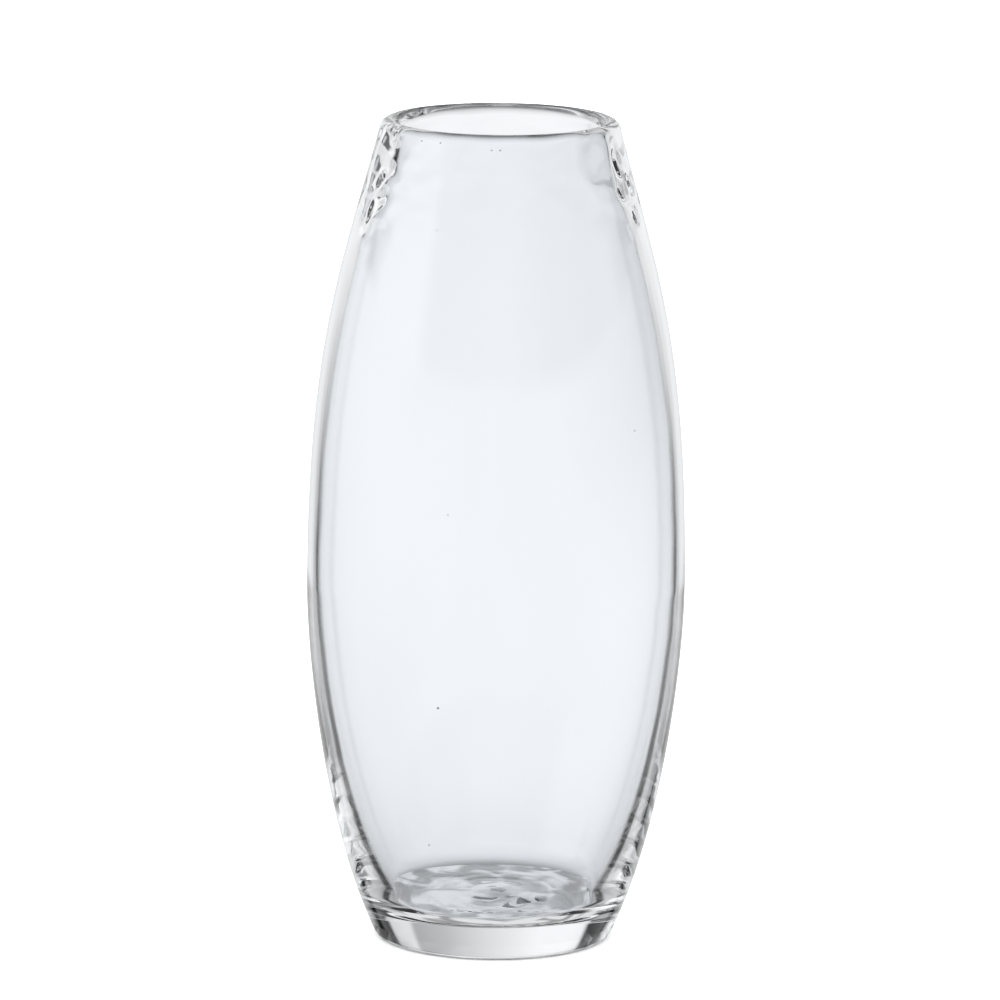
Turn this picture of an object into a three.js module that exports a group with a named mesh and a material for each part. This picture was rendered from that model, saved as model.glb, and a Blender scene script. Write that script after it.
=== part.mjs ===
// Bud vase in clear glass, blown and worked in one piece: a thick foot, a swelling body that is
// widest a little below the middle, and shoulders that draw in to a rounded lip.
// Millimetres, +Z up. The origin is the centre of the flat foot, on the surface it stands on.

import * as THREE from 'three';

// ---- Driving dimensions ---------------------------------------------------------------------

const TOTAL_HEIGHT = 200.5;
const FLOOR_THICKNESS = 9.3;    // glass under the water space, at the centre

const OUTSIDE = {
  footRingRadius: 26.6,         // where the flat foot ends and its rounded corner begins
  footRound: 2.6,               // radius of that corner
  flareAngle: 26,               // lean of the wall at the foot, in degrees from upright
  flareReach: 28.5,             // how far that lean carries up the wall
  bellyRadius: 45.8,
  bellyHeight: 87,
  bellyReachDown: 16.5,         // how far the wall stays near upright below the belly
  bellyReachUp: 60,             // and above it
  shoulderReach: 35,            // how far the lean at the lip carries down the wall
  shoulderAngle: 14.5,          // lean of the wall at the lip, in degrees from upright
};

const LIP = {
  ringRadius: 26.5,             // radius of the rim's crest
  round: 2.5,                   // the fire-polished rim is a half circle in section
};

const INSIDE = {
  floorRadius: 20,              // flat part of the floor
  floorFillet: 8,               // hollow corner between the floor and the wall
  flareAngle: 26.8,
  flareReach: 29,
  bellyRadius: 43.15,           // the wall is thinnest here, about 2.6 mm
  bellyHeight: 88,
  bellyReachDown: 9,
  bellyReachUp: 62,
  shoulderReach: 20,
  shoulderAngle: 18,
};

// ---- Fineness of the faceted model ----------------------------------------------------------

const FACETS_AROUND = 72;
const STEPS = { footCorner: 3, lowerWall: 9, upperWall: 12, halfLip: 4, floorFillet: 4 };

// ---- Outline pieces: x is the radius and y the height ---------------------------------------

const radians = THREE.MathUtils.degToRad;

/** Points along a round stretch of the outline, by its centre, radius and two angles. */
function roundStretch(centreRadius, centreHeight, radius, fromDegrees, toDegrees, steps) {
  const clockwise = toDegrees < fromDegrees;
  const arc = new THREE.EllipseCurve(
    centreRadius, centreHeight, radius, radius, radians(fromDegrees), radians(toDegrees), clockwise);
  return arc.getPoints(steps);
}

/** A point at some distance from another, in a direction that leans from upright. */
function leaning(from, degreesFromUpright, distance) {
  const lean = radians(degreesFromUpright);
  return new THREE.Vector2(from.x + distance * Math.sin(lean), from.y + distance * Math.cos(lean));
}

/** Points up one face of the wall, from its foot through the belly to the lip. */
function wallStretch(face, bottom, top) {
  const belly = new THREE.Vector2(face.bellyRadius, face.bellyHeight);
  const lower = new THREE.CubicBezierCurve(
    bottom,
    leaning(bottom, face.flareAngle, face.flareReach),
    leaning(belly, 0, -face.bellyReachDown),
    belly);
  const upper = new THREE.CubicBezierCurve(
    belly,
    leaning(belly, 0, face.bellyReachUp),
    leaning(top, -face.shoulderAngle, -face.shoulderReach),
    top);
  return [...lower.getPoints(STEPS.lowerWall), ...upper.getPoints(STEPS.upperWall)];
}

/** Drops each point that repeats the one before it, where two stretches meet. */
function withoutRepeats(points) {
  const closest = 1e-4;
  return points.filter((point, i) => i === 0 || point.distanceTo(points[i - 1]) > closest);
}

/** The whole section of the glass, from the centre of the foot round to the centre of the floor. */
function glassSection() {
  const footCorner = roundStretch(
    OUTSIDE.footRingRadius, OUTSIDE.footRound, OUTSIDE.footRound,
    -90, -OUTSIDE.flareAngle, STEPS.footCorner);
  const lipOuterHalf = roundStretch(
    LIP.ringRadius, TOTAL_HEIGHT - LIP.round, LIP.round,
    OUTSIDE.shoulderAngle, 90, STEPS.halfLip);
  const lipInnerHalf = roundStretch(
    LIP.ringRadius, TOTAL_HEIGHT - LIP.round, LIP.round,
    90, 180 + INSIDE.shoulderAngle, STEPS.halfLip);
  const floorFillet = roundStretch(
    INSIDE.floorRadius, FLOOR_THICKNESS + INSIDE.floorFillet, INSIDE.floorFillet,
    -INSIDE.flareAngle, -90, STEPS.floorFillet);

  const outerWall = wallStretch(OUTSIDE, footCorner.at(-1), lipOuterHalf[0]);
  const innerWall = wallStretch(INSIDE, floorFillet[0], lipInnerHalf.at(-1)).reverse();

  return withoutRepeats([
    new THREE.Vector2(0, 0),
    ...footCorner,
    ...outerWall,
    ...lipOuterHalf,
    ...lipInnerHalf,
    ...innerWall,
    ...floorFillet,
    new THREE.Vector2(0, FLOOR_THICKNESS),
  ]);
}

// ---- The vase -------------------------------------------------------------------------------

function makeGlassVase() {
  const geometry = new THREE.LatheGeometry(glassSection(), FACETS_AROUND);
  geometry.rotateX(Math.PI / 2);
  const clearGlass = new THREE.MeshStandardMaterial({
    color: 0xf1f6f7,
    roughness: 0.03,
    metalness: 0,
    transparent: true,
    opacity: 0.35,
  });
  const vase = new THREE.Mesh(geometry, clearGlass);
  vase.name = 'glass_vase';
  return vase;
}

const budVase = new THREE.Group();
budVase.add(makeGlassVase());

export default budVase;
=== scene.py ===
import math

import bmesh
import bpy
from mathutils import Matrix, Vector, geometry, noise


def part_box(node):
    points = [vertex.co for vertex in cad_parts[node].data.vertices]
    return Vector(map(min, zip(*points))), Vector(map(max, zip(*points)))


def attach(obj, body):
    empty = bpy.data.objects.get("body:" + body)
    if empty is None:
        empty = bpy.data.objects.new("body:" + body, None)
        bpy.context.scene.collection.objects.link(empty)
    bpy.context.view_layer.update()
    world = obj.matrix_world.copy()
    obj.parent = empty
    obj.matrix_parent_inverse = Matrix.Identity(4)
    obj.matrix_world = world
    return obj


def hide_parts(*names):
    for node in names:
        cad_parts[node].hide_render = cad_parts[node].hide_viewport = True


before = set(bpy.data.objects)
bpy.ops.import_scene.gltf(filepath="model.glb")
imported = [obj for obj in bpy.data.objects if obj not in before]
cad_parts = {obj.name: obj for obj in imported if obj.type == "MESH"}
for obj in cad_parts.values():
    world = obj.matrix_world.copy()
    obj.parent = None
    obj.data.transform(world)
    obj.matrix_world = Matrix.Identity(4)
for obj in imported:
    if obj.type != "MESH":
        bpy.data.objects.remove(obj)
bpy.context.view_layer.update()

MM = 0.001

# ---- Sizes of the vase, from the frame ------------------------------------------------------

vase_low, vase_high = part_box("glass_vase")
HEIGHT = vase_high.z - vase_low.z
BELLY_RADIUS = (vase_high.x - vase_low.x) / 2


# ---- The glassblower's section: x is the radius and z the height ----------------------------

FOOT_RING_RADIUS = 26.6 * MM     # edge of the flat foot
FOOT_ROUND = 2.6 * MM            # rounded corner of the foot
LIP_RING_RADIUS = 26.5 * MM      # crest of the rim
LIP_ROUND = 2.5 * MM             # the rim is a half circle in section
FLOOR_HEIGHT = 9.3 * MM          # thickness of the base
FLOOR_RADIUS = 20 * MM           # flat part of the floor inside
FLOOR_FILLET = 8 * MM            # hollow corner between floor and wall

OUTSIDE = {
    "flare_angle": 26, "flare_reach": 28.5 * MM,
    "belly": (BELLY_RADIUS, 87 * MM), "reach_down": 16.5 * MM, "reach_up": 60 * MM,
    "shoulder_angle": 14.5, "shoulder_reach": 35 * MM,
    "steps_down": 52, "steps_up": 36,
}
INSIDE = {
    "flare_angle": 26.8, "flare_reach": 29 * MM,
    "belly": (BELLY_RADIUS - 2.65 * MM, 88 * MM), "reach_down": 9 * MM, "reach_up": 62 * MM,
    "shoulder_angle": 18, "shoulder_reach": 20 * MM,
    "steps_down": 60, "steps_up": 76,
}

STEPS_AROUND = 320
FLAT_FOOT_STEPS = 4
FOOT_CORNER_STEPS = 8
HALF_LIP_STEPS = 12
FILLET_STEPS = 12
FLOOR_STEPS = 30


def round_stretch(centre, radius, from_degrees, to_degrees, steps):
    """Points along an arc of the section."""
    points = []
    for i in range(steps + 1):
        angle = math.radians(from_degrees + (to_degrees - from_degrees) * i / steps)
        points.append(centre + radius * Vector((math.cos(angle), math.sin(angle))))
    return points


def leaning(point, degrees_from_upright, distance):
    """A point at a distance from another, along a line that leans outwards from upright."""
    lean = math.radians(degrees_from_upright)
    return point + distance * Vector((math.sin(lean), math.cos(lean)))


def wall_stretch(face, bottom, top):
    """Points up one face of the wall, from the foot through the belly to the lip."""
    belly = Vector(face["belly"])
    lower = geometry.interpolate_bezier(
        bottom, leaning(bottom, face["flare_angle"], face["flare_reach"]),
        leaning(belly, 0, -face["reach_down"]), belly, face["steps_down"])
    upper = geometry.interpolate_bezier(
        belly, leaning(belly, 0, face["reach_up"]),
        leaning(top, -face["shoulder_angle"], -face["shoulder_reach"]), top, face["steps_up"])
    return [p.to_2d() for p in lower + upper[1:]]


def outer_face():
    """The section from the centre of the foot, up the outside, to the crest of the rim."""
    corner = round_stretch(
        Vector((FOOT_RING_RADIUS, FOOT_ROUND)), FOOT_ROUND,
        -90, -OUTSIDE["flare_angle"], FOOT_CORNER_STEPS)
    rim = round_stretch(
        Vector((LIP_RING_RADIUS, HEIGHT - LIP_ROUND)), LIP_ROUND,
        OUTSIDE["shoulder_angle"], 90, HALF_LIP_STEPS)
    flat_foot = [Vector((FOOT_RING_RADIUS * i / FLAT_FOOT_STEPS, 0)) for i in range(FLAT_FOOT_STEPS)]
    return flat_foot + corner[:-1] + wall_stretch(OUTSIDE, corner[-1], rim[0]) + rim[1:]


def inner_face():
    """The section from the centre of the floor, up the inside, to the crest of the rim."""
    fillet = round_stretch(
        Vector((FLOOR_RADIUS, FLOOR_HEIGHT + FLOOR_FILLET)), FLOOR_FILLET,
        -90, -INSIDE["flare_angle"], FILLET_STEPS)
    rim = round_stretch(
        Vector((LIP_RING_RADIUS, HEIGHT - LIP_ROUND)), LIP_ROUND,
        180 + INSIDE["shoulder_angle"], 90, HALF_LIP_STEPS)
    floor = [Vector((FLOOR_RADIUS * i / FLOOR_STEPS, FLOOR_HEIGHT)) for i in range(FLOOR_STEPS)]
    return floor + fillet[:-1] + wall_stretch(INSIDE, fillet[-1], rim[0]) + rim[1:]


# ---- Hand-made unevenness --------------------------------------------------------------------

def ramp(value, low, high):
    """Rises smoothly from 0 at low to 1 at high."""
    t = min(max((value - low) / (high - low), 0), 1)
    return t * t * (3 - 2 * t)


def wave(co, unevenness):
    """Smooth noise between about -1 and 1, with its own length scale along each axis."""
    across, deep, up = unevenness["stretch"]
    return noise.noise(Vector((co.x / across, co.y / deep, co.z / up + unevenness["seed"])))


# What the hand left on the inside of the wall: how far it stands out, how far it stretches along
# each axis, and the seed of its noise.
LONG_SWELL = {"depth": 0.05 * MM, "stretch": (30 * MM, 30 * MM, 60 * MM), "seed": 3}
BLOCK_RINGS = {"depth": 0.03 * MM, "stretch": (24 * MM, 24 * MM, 9 * MM), "seed": 11}
LEFT_NECK = {"depth": 0.4 * MM, "stretch": (6 * MM, 6 * MM, 4 * MM), "seed": 41}
RIGHT_NECK = {"depth": 0.5 * MM, "stretch": (9 * MM, 9 * MM, 5 * MM), "seed": 71}

# The heights between which each of them comes in or dies away.
RINGS_BEGIN = (30 * MM, 80 * MM)
NECK_BEGINS = (165 * MM, 190 * MM)
NECK_ENDS = (195 * MM, 200 * MM)
JACK_MARKS_END = (196 * MM, 199 * MM)
LEFT_TO_RIGHT = (-8 * MM, 8 * MM)    # across the front, where the neck's left work passes into its right

# Where the jacks pinched the neck: degrees round from the front, then height, width, length and
# depth in millimetres. A depth below zero is a ridge.
JACK_MARKS = [
    (-76, 190, 3, 6, 0.3), (-74, 180, 2, 4, 0.25), (78, 178, 1.5, 1.5, 0.3), (74, 192, 2, 3, 0.3),
    (78, 185, 2, 3, -0.2),
]


def jack_dent(co):
    """How deep the jack marks are at a point of the inside."""
    radius = co.to_2d().length
    dent = 0
    for degrees, height, width, length, depth in JACK_MARKS:
        across = (math.atan2(co.x, -co.y) - math.radians(degrees)) * radius / (width * MM)
        along = (co.z - height * MM) / (length * MM)
        dent += depth * MM * math.exp(-across ** 2 - along ** 2)
    return dent


def neck_work(co):
    """The unevenness that shaping the neck left, harder on one side than on the other."""
    share = ramp(co.x, *LEFT_TO_RIGHT)
    left = LEFT_NECK["depth"] * wave(co, LEFT_NECK)
    right = RIGHT_NECK["depth"] * wave(co, RIGHT_NECK)
    return left * (1 - share) + right * share


def inner_wall_shift(co):
    """How far the inside of the wall stands out from a true turning, along its radius."""
    height = co.z
    shift = LONG_SWELL["depth"] * wave(co, LONG_SWELL)
    shift += ramp(height, *RINGS_BEGIN) * BLOCK_RINGS["depth"] * wave(co, BLOCK_RINGS)
    shift += ramp(height, *NECK_BEGINS) * (1 - ramp(height, *NECK_ENDS)) * neck_work(co)
    return shift - jack_dent(co) * (1 - ramp(height, *JACK_MARKS_END))


# The floor: the gather's folds, pressed flat on the marver, with turns wound round its middle.
WIDE_FOLDS = {"stretch": (16 * MM, 13 * MM, 9 * MM), "seed": 45}
SMALL_FOLDS = {"stretch": (9 * MM, 8 * MM, 9 * MM), "seed": 49}
FOLD_HEIGHT = 0.4 * MM
MIDDLE_OF_A_FOLD = 0.25               # a fold rises and sinks about this part of its height
FOLDS_END = (15 * MM, 19 * MM)        # radii between which the folds die away
TURN_SPACING = 4 * MM
TURN_HEIGHT = 0.05 * MM
CROWN = 0.5 * MM                      # how far the floor sinks towards its rim
RING_RISES = (18.6 * MM, 19.6 * MM)   # the low ring round the floor's rim
RING_FALLS = (19.6 * MM, 20.6 * MM)
RING_HEIGHT = 0.08 * MM


def creased(value):
    """Turns smooth noise into flat faces that meet in a crease."""
    return abs(value) - MIDDLE_OF_A_FOLD


def floor_lift(co):
    """How far the floor stands above or below flat."""
    radius = co.to_2d().length
    swirl = math.atan2(co.y, co.x)
    folds = FOLD_HEIGHT * (creased(wave(co, WIDE_FOLDS)) + creased(wave(co, SMALL_FOLDS)))
    turns = TURN_HEIGHT * math.sin(2 * math.pi * radius / TURN_SPACING + swirl)
    crown = CROWN * (radius / FLOOR_RADIUS) ** 2
    ring = RING_HEIGHT * ramp(radius, *RING_RISES) * (1 - ramp(radius, *RING_FALLS))
    return (1 - ramp(radius, *FOLDS_END)) * (folds + turns) - crown + ring


# ---- The blown glass ---------------------------------------------------------------------------

def spun_face(bm, points):
    """Turns one face of the section round the axis and returns its vertices."""
    before = set(bm.verts)
    line = [bm.verts.new((p.x, 0, p.y)) for p in points]
    edges = [bm.edges.new(pair) for pair in zip(line, line[1:])]
    bmesh.ops.spin(
        bm, geom=line + edges, cent=(0, 0, 0), axis=(0, 0, 1), angle=2 * math.pi,
        steps=STEPS_AROUND, use_merge=True, use_duplicate=False)
    return [v for v in bm.verts if v not in before]


# Seeds, the tiny bubbles of the melt: degrees round from the front, then height and width in
# millimetres. They lie about the middle of the wall.
WALL_SEEDS = [
    (49, 130, 0.4), (-18, 65, 0.6), (-24, 30, 0.4), (0, 197, 0.5), (-4, 197, 0.4), (-30, 198, 0.4),
    (-41, 198, 0.4), (-26, 178, 0.3), (-15, 112, 0.3),
]
SEED_DEPTH = 1.3 * MM
SEED_SEGMENTS = {"u_segments": 16, "v_segments": 10}

# The heights between which the floor's unevenness passes into the wall's.
WALL_BEGINS = (FLOOR_HEIGHT + 2 * MM, FLOOR_HEIGHT + 8 * MM)
FLOOR_ENDS = (FLOOR_HEIGHT + 1 * MM, FLOOR_HEIGHT + 6 * MM)
MERGE_DISTANCE = 0.002 * MM
ON_THE_AXIS = 1e-6


def outer_radius(height):
    """The radius of the outside of the vase at a height."""
    face = outer_face()
    for low, high in zip(face, face[1:]):
        if low.y <= height <= high.y and high.y > low.y:
            return low.x + (high.x - low.x) * (height - low.y) / (high.y - low.y)
    return face[-1].x


def add_seed(bm, centre, width):
    """Blows a bubble in the glass, its faces turned to the air inside it."""
    bubble = bmesh.ops.create_uvsphere(
        bm, radius=width * MM / 2, matrix=Matrix.Translation(centre), **SEED_SEGMENTS)
    faces = list({face for vert in bubble["verts"] for face in vert.link_faces})
    bmesh.ops.reverse_faces(bm, faces=faces)


def add_seeds(bm):
    """Sets the seeds in the wall."""
    for degrees, height, width in WALL_SEEDS:
        radius = outer_radius(height * MM) - SEED_DEPTH
        turn = math.radians(degrees)
        add_seed(bm, Vector((radius * math.sin(turn), -radius * math.cos(turn), height * MM)), width)


def make_blown_vase():
    """The whole vase: a true outside, an inside worked by hand, and seeds in the wall between."""
    bm = bmesh.new()
    for v in spun_face(bm, inner_face()):
        radial = Vector((v.co.x, v.co.y, 0))
        if radial.length > ON_THE_AXIS:
            v.co += radial.normalized() * inner_wall_shift(v.co) * ramp(v.co.z, *WALL_BEGINS)
        v.co.z += floor_lift(v.co) * (1 - ramp(v.co.z, *FLOOR_ENDS))
    spun_face(bm, outer_face())
    bmesh.ops.remove_doubles(bm, verts=bm.verts, dist=MERGE_DISTANCE)
    bmesh.ops.recalc_face_normals(bm, faces=bm.faces)
    add_seeds(bm)
    for face in bm.faces:
        face.smooth = True
    mesh = bpy.data.meshes.new("blown_vase")
    bm.to_mesh(mesh)
    bm.free()
    vase = bpy.data.objects.new("blown_vase", mesh)
    bpy.context.scene.collection.objects.link(vase)
    return vase


# ---- Glass -------------------------------------------------------------------------------------

def linear(hex_colour, alpha=1.0):
    """An sRGB hex colour as linear RGBA."""
    parts = [int(hex_colour[i:i + 2], 16) / 255 for i in (1, 3, 5)]
    return [p / 12.92 if p <= 0.04045 else ((p + 0.055) / 1.055) ** 2.4 for p in parts] + [alpha]


def add_node(tree, kind, settings=None, links=None):
    """Adds a shader node, sets its properties and input values, and links its inputs."""
    node = tree.nodes.new(kind)
    for name, value in (settings or {}).items():
        if name in node.inputs:
            node.inputs[name].default_value = value
        else:
            setattr(node, name, value)
    for name, output in (links or {}).items():
        tree.links.new(output, node.inputs[name])
    return node


def per_metre(millimetres):
    """The scale of a pattern whose features are that far apart."""
    return 1 / (millimetres * MM)


def new_material(name):
    """A new material with an empty node tree."""
    material = bpy.data.materials.new(name)
    material.use_nodes = True
    material.node_tree.nodes.clear()
    return material, material.node_tree


def fire_polished_glass():
    """Soda-lime glass, blown and fire-polished: colourless, with the faintest cool cast. The gather
    was turned in wet wooden blocks, which leaves a soft ripple and shallow rings round the wall.
    Painted shade greys the glass wherever the surface is seen nearly edge-on, darkening its outlines."""
    material, tree = new_material("fire_polished_soda_lime_glass")
    place = add_node(tree, "ShaderNodeTexCoord").outputs["Object"]

    # Cords, the streaks of slightly different melt, about 30 mm apart and drawn out upwards.
    drawn_out = add_node(tree, "ShaderNodeMapping", {"Scale": (1, 1, 0.4)}, {"Vector": place})
    cords = add_node(tree, "ShaderNodeTexNoise", {"Scale": per_metre(30), "Detail": 2.0},
                     {"Vector": drawn_out.outputs["Vector"]})
    cast = add_node(tree, "ShaderNodeMixRGB",
                    {"Color1": linear("#FBFDFF"), "Color2": linear("#F6F8FB")},
                    {"Fac": cords.outputs["Fac"]})

    # Painted shade: the base colour turns grey where the surface is seen within about 12 degrees of
    # edge-on, darkening the glass's outlines.
    turned_away = add_node(tree, "ShaderNodeLayerWeight", {"Blend": 0.5})
    depth = add_node(tree, "ShaderNodeMapRange",
                     {"interpolation_type": "SMOOTHSTEP", "From Min": 0.80, "From Max": 0.93},
                     {"Value": turned_away.outputs["Facing"]})
    cords_and_edge_shade = add_node(tree, "ShaderNodeMixRGB", {"Color2": linear("#8E999F")},
                    {"Fac": depth.outputs["Result"], "Color1": cast.outputs["Color"]})

    # The ripple of the blocks is about 7 mm across; the rings follow each other every 3 mm or so.
    ripple = add_node(tree, "ShaderNodeTexNoise", {"Scale": per_metre(7), "Detail": 1.0}, {"Vector": place})
    flattened = add_node(tree, "ShaderNodeMapping", {"Scale": (0.1, 0.1, 1)}, {"Vector": place})
    rings = add_node(tree, "ShaderNodeTexNoise", {"Scale": per_metre(3), "Detail": 1.0},
                     {"Vector": flattened.outputs["Vector"]})
    rippled = add_node(tree, "ShaderNodeBump", {"Distance": 0.006 * MM}, {"Height": ripple.outputs["Fac"]})
    ringed = add_node(tree, "ShaderNodeBump", {"Distance": 0.002 * MM},
                      {"Height": rings.outputs["Fac"], "Normal": rippled.outputs["Normal"]})

    glass = add_node(tree, "ShaderNodeBsdfPrincipled", {
        "Roughness": 0.0,
        "IOR": 1.52,
        "Transmission Weight": 1.0,
    }, {"Base Color": cords_and_edge_shade.outputs["Color"], "Normal": ringed.outputs["Normal"]})
    add_node(tree, "ShaderNodeOutputMaterial", links={"Surface": glass.outputs["BSDF"]})
    return material


# ---- Studio --------------------------------------------------------------------------------------

# A white tent stands round the vase, lit and flagged in three bands: the table, the backdrop and
# what hangs above it. Each list goes round the tent: 0 degrees is straight behind the vase as seen
# from the front, the right is positive, and the second value is the brightness. The tent stands
# still, and only the glass sees it.

TENT_RADIUS = 4.0
TABLE_BAND = [
    (-180, 1.0), (-110, 1.0), (-90, 0.95), (-60, 0.8), (-43, 0.75), (-40, 0.02), (-34, 0.02), (-31, 0.55),
    (-27, 0.75), (-20, 0.85), (-8, 1.0), (8, 1.0), (20, 0.85), (30, 0.75), (34, 0.02), (40, 0.02),
    (43, 0.7), (62, 0.7), (75, 0.8), (110, 1.0),
]
BACKDROP_BAND = [
    (-180, 1.0), (-120, 1.0), (-90, 1.15), (-60, 1.1), (-46, 0.75), (-38, 0.8), (-30, 0.88), (-15, 0.96),
    (0, 1.0), (15, 0.94), (30, 0.88), (38, 0.85), (45, 0.45), (60, 0.35), (90, 0.3), (110, 0.5), (140, 0.9),
]
UPPER_BAND = [
    (-180, 0.65), (-130, 0.6), (-120, 1.25), (-78, 1.15), (-72, 0.45), (-64, 0.01), (-39, 0.01), (-36, 1.0),
    (-30, 1.05), (-15, 1.05), (-5, 0.9), (5, 0.75), (15, 0.57), (28, 0.46), (31, 0.86), (44, 0.8),
    (47, 0.01), (78, 0.01), (88, 0.3), (104, 0.05), (140, 0.15), (170, 0.6),
]
# How the light falls off towards the floor and the dark ceiling, by degrees of elevation.
HEIGHT_FADE = [
    (-90, 0.1), (-75, 0.12), (-60, 0.16), (-50, 0.25), (-42, 0.5), (-35, 0.75), (-28, 0.88), (-16, 1.0),
    (22, 1.0), (28, 0.72), (45, 0.35), (90, 0.15),
]
# The elevations between which the table passes into the backdrop, and the backdrop into the cloth and
# cards above it.
TABLE_TO_BACKDROP = (-11, 4)
BACKDROP_TO_UPPER = (8, 11)
ALL_ROUND = (-180, 180)
DOWN_TO_UP = (-90, 90)


def light_ramp(tree, turn, stops, lowest, highest):
    """Brightness by an angle in radians, from a list of degrees and brightness."""
    share = add_node(tree, "ShaderNodeMapRange",
                     {"From Min": math.radians(lowest), "From Max": math.radians(highest)}, {"Value": turn})
    ramp_node = add_node(tree, "ShaderNodeValToRGB", links={"Fac": share.outputs["Result"]})
    elements = ramp_node.color_ramp.elements
    while len(elements) < len(stops):
        elements.new(0.5)
    for element, (degrees, brightness) in zip(elements, stops):
        element.position = (degrees - lowest) / (highest - lowest)
        element.color = (brightness, brightness, brightness, 1)
    return ramp_node.outputs["Color"]


def blended(tree, below, above, elevation, lowest, highest):
    """One band of light passing softly into the next, between two elevations in degrees."""
    share = add_node(tree, "ShaderNodeMapRange",
                     {"interpolation_type": "SMOOTHSTEP",
                      "From Min": math.radians(lowest), "From Max": math.radians(highest)},
                     {"Value": elevation})
    mix = add_node(tree, "ShaderNodeMixRGB", links={
        "Fac": share.outputs["Result"], "Color1": below, "Color2": above})
    return mix.outputs["Color"]


def tent_cloth():
    """The light of the tent's cloth and of the cards that hang in it."""
    material, tree = new_material("tent_cloth")
    place = add_node(tree, "ShaderNodeTexCoord")
    out = add_node(tree, "ShaderNodeVectorMath", {"operation": "NORMALIZE"})
    tree.links.new(place.outputs["Object"], out.inputs[0])
    across = add_node(tree, "ShaderNodeSeparateXYZ", links={"Vector": out.outputs["Vector"]})
    turn = add_node(tree, "ShaderNodeMath", {"operation": "ARCTAN2"})
    tree.links.new(across.outputs["X"], turn.inputs[0])
    tree.links.new(across.outputs["Y"], turn.inputs[1])
    elevation = add_node(tree, "ShaderNodeMath", {"operation": "ARCSINE"})
    tree.links.new(across.outputs["Z"], elevation.inputs[0])
    table, backdrop, upper = [
        light_ramp(tree, turn.outputs["Value"], band, *ALL_ROUND)
        for band in (TABLE_BAND, BACKDROP_BAND, UPPER_BAND)]
    light = blended(tree, table, backdrop, elevation.outputs["Value"], *TABLE_TO_BACKDROP)
    light = blended(tree, light, upper, elevation.outputs["Value"], *BACKDROP_TO_UPPER)
    fade = light_ramp(tree, elevation.outputs["Value"], HEIGHT_FADE, *DOWN_TO_UP)
    faded = add_node(tree, "ShaderNodeMixRGB", {"blend_type": "MULTIPLY", "Fac": 1.0},
                     {"Color1": light, "Color2": fade})
    glow = add_node(tree, "ShaderNodeEmission", links={"Color": faded.outputs["Color"]})
    add_node(tree, "ShaderNodeOutputMaterial", links={"Surface": glow.outputs["Emission"]})
    return material


def table_shade_under_foot():
    """The table just under the foot as a glowing disc: painted shade where the vase shades it, and painted
    light where light gets in under it.
    """
    material, tree = new_material("table_shade_under_foot")
    place = add_node(tree, "ShaderNodeTexCoord").outputs["Object"]

    # Patches of light about 11 mm apart. The shift picks which of them lie under the foot.
    moved = add_node(tree, "ShaderNodeMapping",
                     {"Location": (300 * MM, 70 * MM, 0), "Scale": (1, 1.3, 1)}, {"Vector": place})
    patches = add_node(tree, "ShaderNodeTexNoise",
                       {"Scale": per_metre(11), "Detail": 1.0, "Distortion": 0.8},
                       {"Vector": moved.outputs["Vector"]})
    light = add_node(tree, "ShaderNodeMapRange",
                     {"interpolation_type": "SMOOTHSTEP", "From Min": 0.4, "From Max": 0.6,
                      "To Min": 0.35, "To Max": 0.85}, {"Value": patches.outputs["Fac"]})
    glow = add_node(tree, "ShaderNodeEmission", {"Color": linear("#FFFFFF")},
                    {"Strength": light.outputs["Result"]})
    add_node(tree, "ShaderNodeOutputMaterial", links={"Surface": glow.outputs["Emission"]})
    return material


STAGE_SEGMENTS = 96
CARD_RADIUS = 32 * MM
CARD_DROP = 0.05 * MM                # how far the card lies under the foot
TABLE_HALF_WIDTH = 5.5
STUDIO_BRIGHTNESS = 2.5              # leaves the table and the backdrop almost white


def stage_object(name, bm, material):
    """A thing of the studio, which isn't part of the vase."""
    mesh = bpy.data.meshes.new(name)
    bm.to_mesh(mesh)
    bm.free()
    mesh.materials.append(material)
    thing = bpy.data.objects.new(name, mesh)
    bpy.context.scene.collection.objects.link(thing)
    return thing


def make_tent():
    bm = bmesh.new()
    bmesh.ops.create_uvsphere(bm, u_segments=STAGE_SEGMENTS, v_segments=64, radius=TENT_RADIUS)
    return stage_object("light_tent", bm, tent_cloth())


# A glowing disc of painted shade and painted light under the foot, seen only in the glass.
def make_card_under_foot():
    bm = bmesh.new()
    bmesh.ops.create_circle(bm, cap_ends=True, segments=STAGE_SEGMENTS, radius=CARD_RADIUS)
    bmesh.ops.translate(bm, verts=bm.verts, vec=(0, 0, -CARD_DROP))
    return stage_object("card_under_foot", bm, table_shade_under_foot())


def seen_only_in_glass(thing):
    thing.visible_camera = False
    thing.visible_diffuse = False
    thing.visible_shadow = False
    thing.visible_volume_scatter = False


def make_world():
    world = bpy.data.worlds.new("white_studio")
    bpy.context.scene.world = world
    world.use_nodes = True
    light = world.node_tree.nodes["Background"]
    light.inputs["Color"].default_value = linear("#FFFFFF")
    light.inputs["Strength"].default_value = STUDIO_BRIGHTNESS


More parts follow.
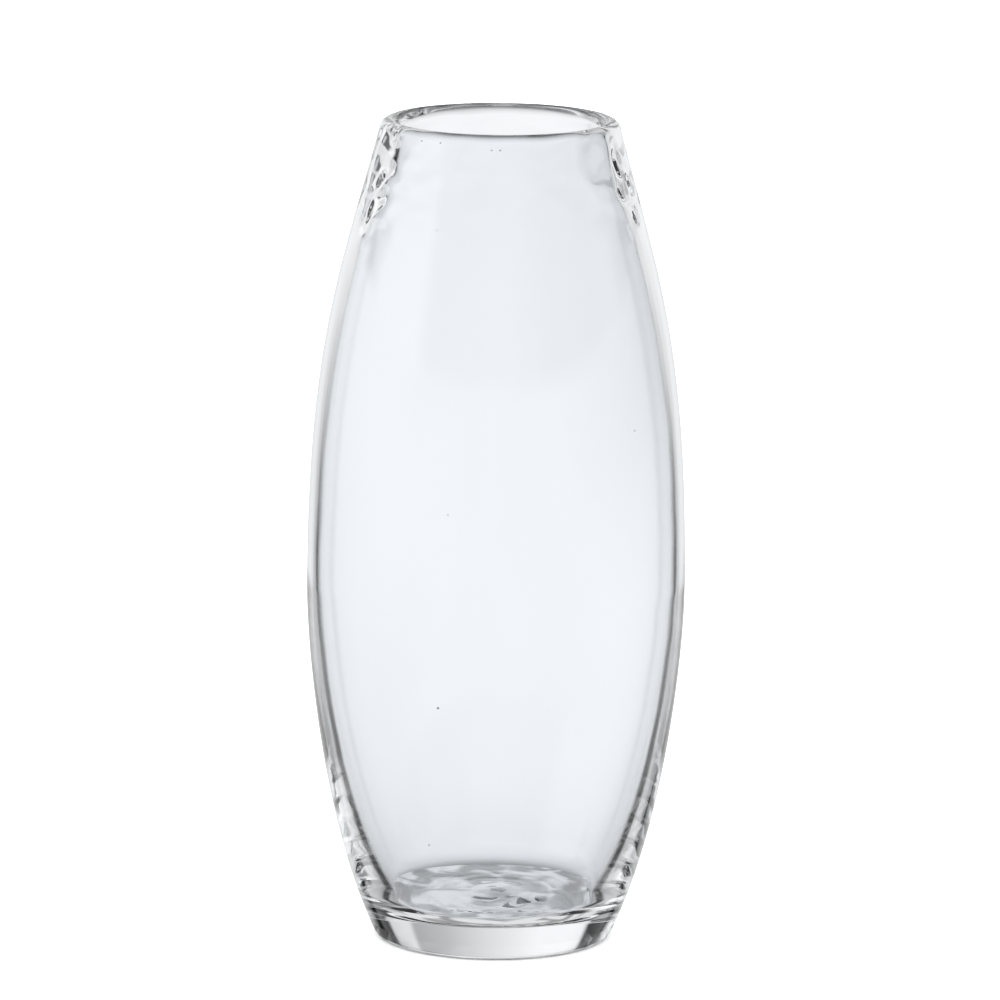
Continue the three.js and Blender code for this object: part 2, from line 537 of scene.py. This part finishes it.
def make_floor():
    """The white table top. The glass sees the tent's table band and not this."""
    bm = bmesh.new()
    bmesh.ops.create_grid(bm, x_segments=1, y_segments=1, size=TABLE_HALF_WIDTH)
    material, tree = new_material("white_table")
    paint = add_node(tree, "ShaderNodeBsdfDiffuse", {"Color": linear("#FAFAFA")})
    add_node(tree, "ShaderNodeOutputMaterial", links={"Surface": paint.outputs["BSDF"]})
    floor = stage_object("floor", bm, material)
    floor.visible_transmission = False
    floor.visible_glossy = False


CAMERA_DISTANCE = 2.066
CAMERA_ELEVATION = math.radians(11.16)
CAMERA_ROLL = math.radians(0.557)
CAMERA_LENS = 307.7                  # millimetres, on a sensor as wide as CAMERA_SENSOR
CAMERA_SENSOR = 36
CAMERA_REACH = 20                    # beyond the far side of the tent
AIM_ABOVE_MIDDLE = 7.1 * MM
AIM_RIGHT_OF_MIDDLE = 0.8 * MM


def make_camera():
    data = bpy.data.cameras.new("camera")
    data.sensor_width = CAMERA_SENSOR
    data.lens = CAMERA_LENS
    data.clip_end = CAMERA_REACH
    camera = bpy.data.objects.new("camera", data)
    bpy.context.scene.collection.objects.link(camera)
    middle = Vector((0, 0, vase_low.z + HEIGHT / 2))
    back = Vector((0, -math.cos(CAMERA_ELEVATION), math.sin(CAMERA_ELEVATION)))
    right = Vector((1, 0, 0))
    up = back.cross(right)
    camera.location = middle + back * CAMERA_DISTANCE
    aim = middle + up * AIM_ABOVE_MIDDLE + right * AIM_RIGHT_OF_MIDDLE
    look = (aim - camera.location).to_track_quat("-Z", "Y")
    camera.rotation_euler = (look.to_matrix() @ Matrix.Rotation(CAMERA_ROLL, 3, "Z")).to_euler()
    bpy.context.scene.camera = camera


make_world()
make_floor()
make_camera()
seen_only_in_glass(make_tent())
seen_only_in_glass(make_card_under_foot())

glass = fire_polished_glass()
vase = make_blown_vase()
vase.data.materials.append(glass)
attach(vase, "root")
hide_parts("glass_vase")

# Light inside the thick wall is turned back many times before it leaves the glass.
LIGHT_BOUNCES = 32
scene = bpy.context.scene
scene.view_settings.view_transform = "Standard"
scene.cycles.max_bounces = LIGHT_BOUNCES
scene.cycles.transmission_bounces = LIGHT_BOUNCES
scene.cycles.glossy_bounces = LIGHT_BOUNCES
